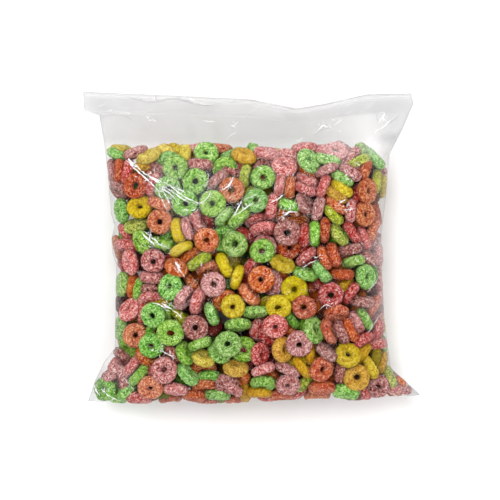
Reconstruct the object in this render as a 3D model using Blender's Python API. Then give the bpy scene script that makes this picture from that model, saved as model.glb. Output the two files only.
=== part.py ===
"""A clear sealed bag filled with small cereal rings, lying on its back with the shown side up.

Metres, +Z up. The bag's seal strip points to +Y, and the origin is under the middle of its box.
The one solid is the bag's outer form, with the rings that press against the film raised on its front.
"""

import math
import random

import bmesh
import bpy
import numpy as np
from mathutils import Matrix, Vector

MM = 0.001
# Outline places are read off the photograph in pixels, and one ring is 16 mm = 26.5 pixels across.
METRES_PER_PIXEL = 0.000604
MIDDLE_X_PX = 251.5
MIDDLE_Y_PX = 247.3

# The bag's side edges, from the seal strip down to the bottom corners: (height, across) in pixels.
LEFT_EDGE = [
    (90, 81.4), (114.4, 83), (116.2, 98), (141, 103), (169, 107), (214, 110.7), (226, 114.3),
    (238, 111), (254, 112), (265, 116), (315, 115), (348, 114.5), (362, 104), (382, 94), (403, 87.2),
]
RIGHT_EDGE = [
    (90, 411.4), (107, 414.6), (131, 402), (154, 390), (190, 387), (230, 382.5), (241, 381.3),
    (250, 383.5), (262, 383.7), (267, 382), (315, 384.5), (348, 388.5), (368, 391), (382, 406),
    (403, 421.6),
]
# The top and bottom edges: (across, height) in pixels.
TOP_EDGE = [(81, 90.2), (115, 91.8), (200, 95.8), (248, 98.2), (297, 108), (325, 103), (367, 93.4), (412, 92.2)]
BOTTOM_EDGE = [
    (87, 401.6), (136, 404.2), (160, 403.6), (184, 400.8), (205, 404.4), (260, 402), (332, 398.4),
    (355, 401.2), (392, 397.2), (422, 395.6),
]
TOP_ROW_PX = 97.0
BOTTOM_ROW_PX = 401.5
STRIP_LINE_PX = 115.0
FILL_LINE_PX = 148.0

# Where the filled part ends at each side of the bottom corners, which taper out flat from there.
CORNER_FROM_PX = 348.0
CORNER_LEFT_PX = 110.0
CORNER_RIGHT_PX = 393.0
CORNER_HEIGHT = 10 * MM

# How thick the bag is, from its bottom edge up to the strip: (height in pixels, thickness).
THICKNESS = [
    (92, 2.2 * MM), (115.5, 2.6 * MM), (122, 11 * MM), (132, 26 * MM), (141, 38 * MM), (148, 45 * MM),
    (160, 52 * MM), (185, 57 * MM), (230, 60 * MM), (300, 61 * MM), (350, 58 * MM), (375, 52 * MM),
    (388, 43 * MM), (396, 31 * MM), (400, 20 * MM), (402, 5 * MM),
]
EDGE_THICKNESS = 1.6 * MM
STRIP_HEIGHT = 15 * MM
STRIP_WAVE = 3.0 * MM
SIDE_SHARE = 0.42
FRONT_ROUNDING = 46 * MM
BACK_ROUNDING = 34 * MM
# The back would reach this much below the floor if it were round, so it is flat where it rests.
BACK_REACH = 1.12

# The rings lie against the film, so the solid between them is lower by this much.
RING_RELIEF = 3.3 * MM
RING_RADIUS = 7.9 * MM
RING_THICKNESS = 6.2 * MM
RING_HOLE_RADIUS = 1.6 * MM
RING_SPACING = 10.6 * MM
RING_TRIES = 14000
RING_MOST = 205
# A ring that would stand out of the film by more than this is left out or moved in.
LEAST_POKE = 1.0 * MM
LOWER_SIDE_SHARE = 0.45
LOWER_SIDE_FROM = 9 * MM
SEED = 11

# Rings that show against the front film, as (across, height, turn, width): the middle in pixels, the
# angle of the long axis in degrees anticlockwise from level, and the short axis in pixels, where 26 is
# face on and 11 is edge on.
FACE_ON_PX = 26.5
EDGE_ON_PX = 10.3
SEEN_RINGS = [
    (169, 146, -55, 12), (117, 153, -35, 15), (136, 152, 38, 11), (149, 156, 5, 14), (184, 152, 75, 11),
    (206, 154, 0, 24), (244, 157, -20, 15), (267, 154, -12, 13), (327, 160, -8, 13), (335, 152, -10, 20),
    (345, 149, -50, 14), (351, 157, 45, 12), (364, 151, -50, 18), (374, 158, -45, 13), (112, 171, 90, 11),
    (119, 171, 85, 14), (127, 172, 75, 13), (176, 168, 0, 26), (200, 165, 8, 13), (284, 167, -15, 20),
    (309, 161, -45, 20), (326, 170, 30, 12), (349, 172, -35, 13), (357, 161, 15, 12), (364, 171, 80, 12),
    (136, 186, 0, 26), (196, 182, 0, 26), (218, 181, 40, 13), (245, 176, 80, 12), (263, 178, 0, 26),
    (280, 184, 80, 11), (290, 188, 84, 11), (323, 187, 72, 12), (341, 178, -32, 12), (376, 182, 80, 13),
    (119, 189, -55, 17), (169, 189, 0, 24), (232, 190, 0, 26), (256, 201, 0, 26), (305, 189, -20, 14),
    (335, 195, -35, 12), (341, 189, -45, 13), (367, 191, -75, 20), (122, 211, -80, 16),
    (141, 207, 25, 23), (161, 204, -8, 12), (186, 204, 0, 26), (213, 204, 0, 26), (272, 207, 80, 12),
    (290, 205, -10, 13), (304, 204, -60, 19), (318, 209, 75, 12), (333, 214, -55, 13),
    (336, 205, -40, 13), (350, 211, 85, 11), (364, 214, -80, 21), (137, 226, 20, 16), (161, 222, 0, 26),
    (179, 231, -75, 13), (189, 229, -70, 15), (198, 221, -70, 14), (225, 217, 50, 13), (239, 219, 42, 13),
    (263, 229, 10, 15), (324, 230, 87, 11), (372, 231, 65, 11), (142, 242, -65, 17), (163, 243, -12, 13),
    (207, 240, 0, 26), (235, 244, 0, 27), (287, 233, 0, 27), (304, 235, 85, 11), (314, 234, 88, 11),
    (339, 235, -50, 15), (351, 233, -50, 12), (363, 238, -65, 12), (128, 245, 0, 11), (182, 249, 25, 13),
    (262, 251, 0, 26), (306, 257, 45, 13), (324, 258, -65, 13), (333, 255, -75, 12), (349, 250, 15, 11),
    (367, 257, -40, 12), (131, 262, -80, 17), (154, 261, 0, 26), (178, 268, -35, 22), (200, 262, 30, 14),
    (225, 265, -62, 12), (282, 263, -25, 18), (321, 271, -52, 12), (352, 261, 10, 12), (122, 284, 80, 15),
    (153, 277, -5, 12), (171, 286, 90, 24), (193, 281, -50, 13), (214, 284, 0, 26), (238, 277, 68, 12),
    (261, 279, 0, 26), (305, 274, -20, 13), (341, 274, -5, 12), (365, 277, 80, 22), (184, 297, 60, 17),
    (249, 294, -50, 14), (294, 289, 0, 26), (330, 295, 0, 27), (350, 293, 60, 12), (361, 300, -10, 14),
    (131, 309, 40, 19), (154, 315, 90, 25), (198, 301, 75, 13), (212, 313, -72, 12), (233, 306, 0, 27),
    (256, 311, 8, 13), (278, 307, 0, 26), (303, 306, 0, 25), (336, 312, 5, 19), (373, 307, 50, 12),
    (196, 327, 0, 26), (238, 324, 4, 14), (275, 325, 0, 24), (355, 322, -60, 11), (364, 318, -62, 12),
    (122, 329, 80, 13), (136, 335, 0, 26), (171, 332, 0, 26), (200, 343, 25, 13), (228, 343, 0, 27),
    (299, 343, 0, 25), (313, 330, -75, 23), (328, 331, -65, 15), (342, 331, -70, 13), (350, 329, -62, 13),
    (362, 341, 40, 15), (379, 330, 70, 12), (121, 356, -20, 15), (152, 345, 0, 25), (260, 353, 80, 20),
    (283, 349, 80, 22), (326, 351, -35, 14), (347, 354, -20, 24), (375, 344, 10, 11), (132, 366, 45, 12),
    (165, 369, 0, 26), (204, 357, -8, 17), (236, 367, -5, 18), (263, 369, 20, 13), (288, 368, -25, 12),
    (302, 366, -48, 12), (321, 368, 70, 21), (370, 366, -55, 12), (382, 363, 80, 11), (110, 374, 30, 15),
    (123, 378, -70, 15), (140, 374, 45, 12), (188, 373, -50, 16), (288, 384, 0, 25), (356, 377, 0, 26),
    (391, 379, -70, 14), (101, 389, -70, 16), (127, 391, 45, 13), (139, 398, -10, 13), (151, 387, 0, 26),
    (176, 389, -10, 13), (195, 396, 10, 15), (218, 393, -4, 12), (231, 387, -32, 13), (322, 387, 4, 13),
    (346, 392, -12, 18), (362, 393, -60, 13), (379, 387, 0, 25),
]


def clear_scene():
    for obj in list(bpy.data.objects):
        bpy.data.objects.remove(obj, do_unlink=True)
    for mesh in list(bpy.data.meshes):
        bpy.data.meshes.remove(mesh)


def metres_x(px):
    return (px - MIDDLE_X_PX) * METRES_PER_PIXEL


def metres_y(px):
    return (MIDDLE_Y_PX - px) * METRES_PER_PIXEL


def pixel_y(y):
    return MIDDLE_Y_PX - y / METRES_PER_PIXEL


def along(table, at):
    """The value of a table of (place, value) pairs at this place."""
    places, values = zip(*table)
    return float(np.interp(at, places, values))


def smooth(low, high, at):
    """0 below low, 1 above high and a soft step between them."""
    t = min(max((at - low) / (high - low), 0.0), 1.0)
    return t * t * (3 - 2 * t)


def edges_at(row_px):
    """The film's left and right edge in a row, in metres."""
    return metres_x(along(LEFT_EDGE, row_px)), metres_x(along(RIGHT_EDGE, row_px))


def body_edges_at(row_px):
    """Where the filled body's rounded sides start, inside the flat corners of the bottom."""
    left, right = edges_at(row_px)
    if row_px <= CORNER_FROM_PX:
        return left, right
    share = smooth(CORNER_FROM_PX, BOTTOM_ROW_PX, row_px)
    left_from, right_from = edges_at(CORNER_FROM_PX)
    corner_left = left_from + share * (metres_x(CORNER_LEFT_PX) - left_from)
    corner_right = right_from + share * (metres_x(CORNER_RIGHT_PX) - right_from)
    return max(left, corner_left), min(right, corner_right)


def rounding(x, low, high, width):
    """0 at the body's sides, rising on a rounded shoulder to 1 inside them."""
    inside = min(x - low, high - x)
    if inside <= 0:
        return 0.0
    t = min(inside / min(width, (high - low) / 2), 1.0)
    return (1 - (1 - t) ** 2.2) ** 0.52


def side_height(x, row_px):
    """How high the bag's edge lies: at part of the thickness, and waving along the strip."""
    body = SIDE_SHARE * along(THICKNESS, 300.0)
    wave = STRIP_WAVE * math.sin(x / (31 * MM) + 0.8) + 0.4 * STRIP_WAVE * math.sin(x / (11 * MM))
    strip = STRIP_HEIGHT + wave
    return strip + (body - strip) * smooth(STRIP_LINE_PX, FILL_LINE_PX + 20, row_px)


def corner_rise(x, row_px):
    """The thin filled wedge between the film's edge and the body, in the bottom corners."""
    left, right = edges_at(row_px)
    low, high = body_edges_at(row_px)
    rise = 0.0
    if x < 0 and low - left > 0.5 * MM:
        rise = min((x - left) / (low - left), 1.0)
    if x > 0 and right - high > 0.5 * MM:
        rise = min((right - x) / (right - high), 1.0)
    return rise * CORNER_HEIGHT * smooth(CORNER_FROM_PX, CORNER_FROM_PX + 20, row_px) * (
        1 - smooth(394.0, 402.0, row_px)
    )


def film_heights(x, row_px):
    """The height of the film's front and back at one place."""
    low, high = body_edges_at(row_px)
    thick = along(THICKNESS, row_px)
    side = side_height(x, row_px)
    full_side = SIDE_SHARE * thick
    front_rise = (thick - full_side) * rounding(x, low, high, FRONT_ROUNDING)
    back_drop = BACK_REACH * min(full_side, side) * rounding(x, low, high, BACK_ROUNDING)
    corner = corner_rise(x, row_px) if row_px > CORNER_FROM_PX else 0.0
    # Towards the strip the whole bag hangs down to the strip's height.
    front = side + max(front_rise, corner) + EDGE_THICKNESS / 2
    back = side - max(back_drop, 0.6 * corner) - EDGE_THICKNESS / 2
    return front, max(back, 0.0)


def relief_at(x, row_px):
    """How far the front lies under the film, which is nothing at its edges and in the empty top."""
    low, high = body_edges_at(row_px)
    inside = min(x - low, high - x)
    return (
        RING_RELIEF
        * smooth(0.5 * MM, 7 * MM, inside)
        * smooth(FILL_LINE_PX - 7, FILL_LINE_PX + 1, row_px)
        * (1 - smooth(393.0, 400.0, row_px))
    )


def bag_core():
    """The bag's outer form as one closed mesh of rows from the bottom edge to the top edge."""
    rows = [
        BOTTOM_ROW_PX, 400.5, 398.0, 393.0, 386.0, 376.0, 362.0, 348.0, 328.0, 302.0, 276.0, 264.0, 252.0,
        240.0, 226.0, 206.0, 184.0, 166.0, 155.0, 148.0, 142.0, 135.0, 128.0, 121.0, 116.2, 114.4, 106.0,
        TOP_ROW_PX,
    ]
    half = [0.0, 0.008, 0.026, 0.052, 0.088, 0.135, 0.195, 0.27, 0.35, 0.43]
    shares = half + [0.5] + [1 - s for s in reversed(half)]
    bm = bmesh.new()
    front, back = [], []
    for row in rows:
        left, right = edges_at(row)
        at_bottom = 1 - smooth(0.0, 24.0, BOTTOM_ROW_PX - row)
        at_top = 1 - smooth(6.0, 34.0, row - TOP_ROW_PX)
        front_row, back_row = [], []
        for share in shares:
            x = left + (right - left) * share
            across_px = x / METRES_PER_PIXEL + MIDDLE_X_PX
            y_px = row + at_bottom * (along(BOTTOM_EDGE, across_px) - BOTTOM_ROW_PX)
            y_px += at_top * (along(TOP_EDGE, across_px) - TOP_ROW_PX)
            high, low = film_heights(x, row)
            relief = relief_at(x, row)
            high -= relief
            low += relief * smooth(1 * MM, 8 * MM, low)
            front_row.append(bm.verts.new((x, metres_y(y_px), high)))
            back_row.append(bm.verts.new((x, metres_y(y_px), low)))
        front.append(front_row)
        back.append(back_row)
    last = len(shares) - 1
    for k in range(len(rows) - 1):
        for j in range(last):
            bm.faces.new((front[k][j], front[k][j + 1], front[k + 1][j + 1], front[k + 1][j]))
            bm.faces.new((back[k][j], back[k + 1][j], back[k + 1][j + 1], back[k][j + 1]))
        bm.faces.new((front[k][0], front[k + 1][0], back[k + 1][0], back[k][0]))
        bm.faces.new((front[k][last], back[k][last], back[k + 1][last], front[k + 1][last]))
    for j in range(last):
        bm.faces.new((front[0][j], back[0][j], back[0][j + 1], front[0][j + 1]))
        bm.faces.new((front[-1][j], front[-1][j + 1], back[-1][j + 1], back[-1][j]))
    bmesh.ops.dissolve_limit(bm, angle_limit=math.radians(0.4), verts=bm.verts[:], edges=bm.edges[:])
    bmesh.ops.triangulate(bm, faces=bm.faces[:])
    bmesh.ops.recalc_face_normals(bm, faces=bm.faces[:])
    mesh = bpy.data.meshes.new("bag")
    bm.to_mesh(mesh)
    bm.free()
    obj = bpy.data.objects.new("bag", mesh)
    bpy.context.scene.collection.objects.link(obj)
    return obj


def film_point(x, row_px, face):
    """A place on the film's front (face 0) or back (face 1)."""
    return Vector((x, metres_y(row_px), film_heights(x, row_px)[face]))


def film_normal(x, row_px, face):
    """The film's outward direction there."""
    step = 1.5 * MM
    left = film_heights(x - step, row_px)[face]
    right = film_heights(x + step, row_px)[face]
    low = film_heights(x, row_px + step / METRES_PER_PIXEL)[face]
    high = film_heights(x, row_px - step / METRES_PER_PIXEL)[face]
    out = Vector((left - right, low - high, 2 * step)).normalized()
    return -out if face else out


def ring_mesh(name, rng):
    """One cereal ring with few sides, about the Z axis and a little uneven."""
    around, section = 8, 5
    outer = RING_RADIUS * rng.uniform(0.95, 1.05)
    tube = (outer - RING_HOLE_RADIUS) / 2
    middle = outer - tube
    half_high = RING_THICKNESS * rng.uniform(0.92, 1.08) / 2
    squash = rng.uniform(0.93, 1.0)
    bm = bmesh.new()
    loops = []
    for i in range(around):
        turn = 2 * math.pi * i / around
        loop = []
        for j in range(section):
            bend = 2 * math.pi * (j + 0.5) / section
            reach = middle + tube * math.cos(bend) / math.cos(math.pi / section) * 0.93
            co = (
                reach * math.cos(turn),
                reach * math.sin(turn) * squash,
                half_high * math.sin(bend) * 1.05,
            )
            loop.append(bm.verts.new(co))
        loops.append(loop)
    for i in range(around):
        for j in range(section):
            a, b = loops[i], loops[(i + 1) % around]
            k = (j + 1) % section
            bm.faces.new((a[j], b[j], b[k], a[k]))
    bmesh.ops.recalc_face_normals(bm, faces=bm.faces[:])
    mesh = bpy.data.meshes.new(name)
    bm.to_mesh(mesh)
    bm.free()
    return mesh


def seen_places():
    """The middle, axis and film point of each ring that the photograph shows."""
    places = []
    for number, (across_px, row_px, turn, width_px) in enumerate(SEEN_RINGS):
        x = metres_x(across_px)
        facing = min(max((width_px - EDGE_ON_PX) / (FACE_ON_PX - EDGE_ON_PX), 0.05), 0.98)
        sine = math.sqrt(1 - facing * facing)
        lean = 1 if number % 2 else -1
        long_axis = math.radians(turn)
        axis = Vector((-math.sin(long_axis) * sine * lean, math.cos(long_axis) * sine * lean, facing))
        film, out = film_point(x, row_px, 0), film_normal(x, row_px, 0)
        depth = support(axis, out) / max(out.z, 0.45) + 0.3 * MM
        middle = film - Vector((0, 0, depth))
        back = film_heights(x, row_px)[1]
        if middle.z - support(axis, Vector((0, 0, 1))) < back - LEAST_POKE:
            continue
        # A ring near an edge of the film stays inside it.
        low, high = body_edges_at(row_px)
        across = support(axis, Vector((1, 0, 0))) - LEAST_POKE
        middle.x = min(max(middle.x, low + across), high - across)
        bottom = metres_y(along(BOTTOM_EDGE, across_px))
        middle.y = max(middle.y, bottom + support(axis, Vector((0, 1, 0))) + LEAST_POKE)
        places.append((middle, axis, film))
    return places


def support(axis, out):
    """How far a ring with this axis reaches from its middle in a direction."""
    tube = RING_THICKNESS / 2
    return (RING_RADIUS - tube) * math.sqrt(max(1 - axis.dot(out) ** 2, 0)) + tube


def side_places(seen):
    """More rings where none is read off the photograph, mostly round the bag's sides."""
    rng = random.Random(SEED)
    places = list(seen)
    for _ in range(RING_TRIES):
        if len(places) >= RING_MOST:
            break
        face = int(rng.random() < LOWER_SIDE_SHARE)
        row = rng.uniform(FILL_LINE_PX + 1, 395.0)
        low, high = body_edges_at(row)
        x = rng.uniform(low + 2 * MM, high - 2 * MM)
        film, out = film_point(x, row, face), film_normal(x, row, face)
        if face and film.z < LOWER_SIDE_FROM:
            continue
        # Steep places look narrow from above, so they are taken more often.
        if rng.random() > 1 / max(abs(out.z), 0.25) / 2.5:
            continue
        if min((film - other).length for _, _, other in places) < RING_SPACING:
            continue
        tilt = math.radians(rng.uniform(30, 90))
        across = out.orthogonal().normalized()
        across.rotate(Matrix.Rotation(rng.uniform(0, 2 * math.pi), 3, out))
        axis = out * math.cos(tilt) + across * math.sin(tilt)
        # On the curved sides a ring's rim would stand out of the film, so it goes deeper there.
        depth = support(axis, out) + (0.2 + 1.2 * (1 - abs(out.z))) * MM
        places.append((film - out * depth, axis, film))
    return places[len(seen):]


def raised_rings(collection):
    """Puts the rings against the film, each as its own mesh in the collection."""
    rng = random.Random(SEED + 1)
    seen = seen_places()
    for number, (middle, axis, _) in enumerate(seen + side_places(seen)):
        obj = bpy.data.objects.new(f"ring_{number}", ring_mesh(f"ring_{number}", rng))
        turned = Vector((0, 0, 1)).rotation_difference(axis).to_matrix()
        own = Matrix.Rotation(rng.uniform(0, 2 * math.pi), 3, "Z")
        obj.matrix_world = Matrix.Translation(middle) @ (turned @ own).to_4x4()
        collection.objects.link(obj)


def fuse(core, collection):
    """Joins the core and the rings into one solid, then drops loose scraps and sealed hollows."""
    join = core.modifiers.new("rings", "BOOLEAN")
    join.operation = "UNION"
    join.operand_type = "COLLECTION"
    join.collection = collection
    join.solver = "EXACT"
    bpy.context.view_layer.update()
    graph = bpy.context.evaluated_depsgraph_get()
    fused = bpy.data.meshes.new_from_object(core.evaluated_get(graph))
    core.modifiers.clear()
    core.data = fused
    for obj in list(collection.objects):
        bpy.data.objects.remove(obj, do_unlink=True)
    bpy.data.collections.remove(collection)
    bm = bmesh.new()
    bm.from_mesh(fused)
    keep_largest(bm)
    bmesh.ops.triangulate(bm, faces=bm.faces[:])
    bm.to_mesh(fused)
    bm.free()


def keep_largest(bm):
    """Removes every shell but the one with the most faces."""
    bm.verts.ensure_lookup_table()
    seen, shells = set(), []
    for start in bm.verts:
        if start.index in seen:
            continue
        shell, waiting = [], [start]
        seen.add(start.index)
        while waiting:
            vert = waiting.pop()
            shell.append(vert)
            for edge in vert.link_edges:
                other = edge.other_vert(vert)
                if other.index not in seen:
                    seen.add(other.index)
                    waiting.append(other)
        shells.append(shell)
    shells.sort(key=len)
    for shell in shells[:-1]:
        bmesh.ops.delete(bm, geom=shell, context="VERTS")


def cereal_material():
    material = bpy.data.materials.new("cereal")
    material.use_nodes = True
    shader = material.node_tree.nodes["Principled BSDF"]
    shader.inputs["Base Color"].default_value = (0.38, 0.23, 0.085, 1.0)
    shader.inputs["Roughness"].default_value = 0.6
    shader.inputs["Metallic"].default_value = 0.0
    return material


def main():
    clear_scene()
    core = bag_core()
    rings = bpy.data.collections.new("rings")
    bpy.context.scene.collection.children.link(rings)
    raised_rings(rings)
    fuse(core, rings)
    core.data.materials.clear()
    core.data.materials.append(cereal_material())


main()
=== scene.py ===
"""The looks of a clear sealed bag filled with cereal rings, lying on its back with the shown side up.

The shape of the bag follows part.py. The rings are packed inside it by a small deterministic solver,
and the rings that show most at the front are held where the photograph shows them.
"""

import math

import bpy
import numpy as np
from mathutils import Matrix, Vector

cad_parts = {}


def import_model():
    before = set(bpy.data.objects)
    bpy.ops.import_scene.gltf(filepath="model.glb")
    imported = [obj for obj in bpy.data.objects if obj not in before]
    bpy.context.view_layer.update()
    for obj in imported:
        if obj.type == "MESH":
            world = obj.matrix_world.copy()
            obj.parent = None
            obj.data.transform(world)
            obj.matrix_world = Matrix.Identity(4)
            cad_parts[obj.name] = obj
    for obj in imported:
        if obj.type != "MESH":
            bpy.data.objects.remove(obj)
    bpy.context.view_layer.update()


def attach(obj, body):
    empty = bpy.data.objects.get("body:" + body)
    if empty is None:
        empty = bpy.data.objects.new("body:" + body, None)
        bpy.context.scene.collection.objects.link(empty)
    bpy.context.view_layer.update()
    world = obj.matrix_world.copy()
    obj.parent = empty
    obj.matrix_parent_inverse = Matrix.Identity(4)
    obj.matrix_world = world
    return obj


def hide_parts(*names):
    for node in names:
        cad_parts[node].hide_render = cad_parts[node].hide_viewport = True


# A millimetre, and a pixel of the photograph, in metres.
MM = 0.001
PIXEL = 0.000604
MIDDLE_X_PX = 251.5
MIDDLE_Y_PX = 247.3
FRAME_PX = 500
# The camera's height, the height at which the photograph's scale holds, and its sensor in millimetres.
CAMERA_HEIGHT = 2.4
SHARP_HEIGHT = 0.032
SENSOR = 36.0
FLOOR_REACH = 3.0
LIT_SPOT = (0, 0, 0.03)

# The bag's shape, as in part.py: outlines in pixels of the photograph, thicknesses in metres.
LEFT_EDGE = [
    (90, 81.4), (114.4, 83), (116.2, 98), (141, 103), (169, 107), (214, 110.7), (226, 114.3),
    (238, 111), (254, 112), (265, 116), (315, 115), (348, 114.5), (362, 104), (382, 94), (403, 87.2),
]
RIGHT_EDGE = [
    (90, 411.4), (107, 414.6), (131, 402), (154, 390), (190, 387), (230, 382.5), (241, 381.3),
    (250, 383.5), (262, 383.7), (267, 382), (315, 384.5), (348, 388.5), (368, 391), (382, 406),
    (403, 421.6),
]
TOP_EDGE = [
    (81, 90.2), (115, 91.8), (200, 95.8), (248, 98.2), (297, 108), (325, 103), (367, 93.4), (412, 92.2),
]
BOTTOM_EDGE = [
    (87, 401.6), (136, 404.2), (160, 403.6), (184, 400.8), (205, 404.4), (260, 402), (332, 398.4),
    (355, 401.2), (392, 397.2), (422, 395.6),
]
TOP_ROW_PX = 97.0
BOTTOM_ROW_PX = 401.5
STRIP_LINE_PX = 115.0
FILL_LINE_PX = 148.0
CORNER_FROM_PX = 348.0
CORNER_LEFT_PX = 110.0
CORNER_RIGHT_PX = 393.0
CORNER_HEIGHT = 10 * MM
CORNER_RISE_PX = 20
CORNER_FADE_PX = (394.0, 402.0)
# Within these distances of the bottom and top edges the film's rows bend to follow them, and between
# these rows the height maps bend to follow the bottom edge.
BOTTOM_BEND_PX = (0.0, 24.0)
TOP_BEND_PX = (6.0, 34.0)
BEND_ROWS_PX = (370, 400)
THICKNESS = [
    (92, 2.2 * MM), (115.5, 2.6 * MM), (122, 11 * MM), (132, 26 * MM), (141, 38 * MM), (148, 45 * MM),
    (160, 52 * MM), (185, 57 * MM), (230, 60 * MM), (300, 61 * MM), (350, 58 * MM), (375, 52 * MM),
    (388, 43 * MM), (396, 31 * MM), (400, 20 * MM), (402, 5 * MM),
]
FILM_EDGE = 0.5 * MM
STRIP_HEIGHT = 15 * MM
STRIP_WAVE = 3.0 * MM
SIDE_SHARE = 0.42
FRONT_ROUNDING = 46 * MM
BACK_ROUNDING = 34 * MM
BACK_REACH = 1.12
# The lowest height of the film's back. The floor of the picture is as far below zero.
FILM_FLOOR = 0.4 * MM
MIDDLE_ROW_PX = 300.0
# The height maps of the film: their step, their lower left corner, their columns and rows.
MAP_STEP = 1.0 * MM
MAP_CORNER = (-106 * MM, -97 * MM)
MAP_SIZE = (213, 195)
STEEPEST = 3.5
# Outside the bag's outline the two films close on each other this steeply.
OUTSIDE_SLOPE = 2.5

# One ring: the radius of its middle line, and half its thickness.
RING_MIDDLE = 4.75 * MM
TUBE = 3.15 * MM
CRUMBS = 0.12 * MM
BEADS = 8
# Lumps of a ring: waves around the ring, waves around its tube, and the height in millimetres.
LUMPS = [
    (3, 1, 0.05), (4, 2, 0.04), (5, 1, 0.04), (6, 3, 0.04), (7, 2, 0.04), (8, 4, 0.05), (9, 1, 0.04),
    (11, 3, 0.06), (12, 5, 0.06), (13, 2, 0.06), (10, 5, 0.06), (5, 4, 0.04), (2, 3, 0.04),
]
# Faces around the ring and around its tube: the held rings, others near the front, near a wall, inside.
RING_DETAIL = ((50, 20), (34, 14), (22, 12), (16, 8))
RING_COUNT = 690
# The packing: its steps, those in which the rings grow and the last, gently held ones, how strongly and
# how far rings are pushed, and how strongly the held ones go back to their places.
SETTLE_STEPS = 170
GROW_STEPS = 60
LATE_STEPS = 40
PUSH = 1.5
PUSH_LIMIT = 3 * MM
HOLD = 0.6
LATE_HOLD = 0.3
# The share of a held ring's depth that gives way to its neighbours.
DEPTH_SLACK = 0.85
FILM_GAP = 0.35 * MM
# Rings lean with the film where its normal rises less than this.
STEEP = 0.88
# The most that a ring seen face on rises to the viewer, as a cosine.
FACE_ON = 0.985
SEED = 5
# Where the other rings start: from and to, across the bag, along it and up.
SCATTER_BOX = ((-95 * MM, 100 * MM), (-93 * MM, 66 * MM), (0, 62 * MM))
# They start neither where the bag is thinner than this many tubes' radii nor nearer the fill level.
THIN = 2.4
BELOW_LEVEL_PX = 8

# How high the rings reach at the top, as the photograph shows it: (across, height) in pixels.
FILL_LEVEL = [
    (98, 152), (109, 147), (115, 140), (130, 146), (143, 145), (155, 147), (170, 141), (185, 145),
    (201, 142), (224, 143), (240, 147), (251, 142), (267, 147), (283, 148), (305, 141), (323, 144),
    (339, 140), (351, 145), (364, 141), (380, 156), (390, 166),
]

# The share of each colour among the rings.
COLOURS = {"green": 0.27, "orange": 0.22, "rose": 0.19, "mauve": 0.16, "yellow": 0.16}

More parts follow.
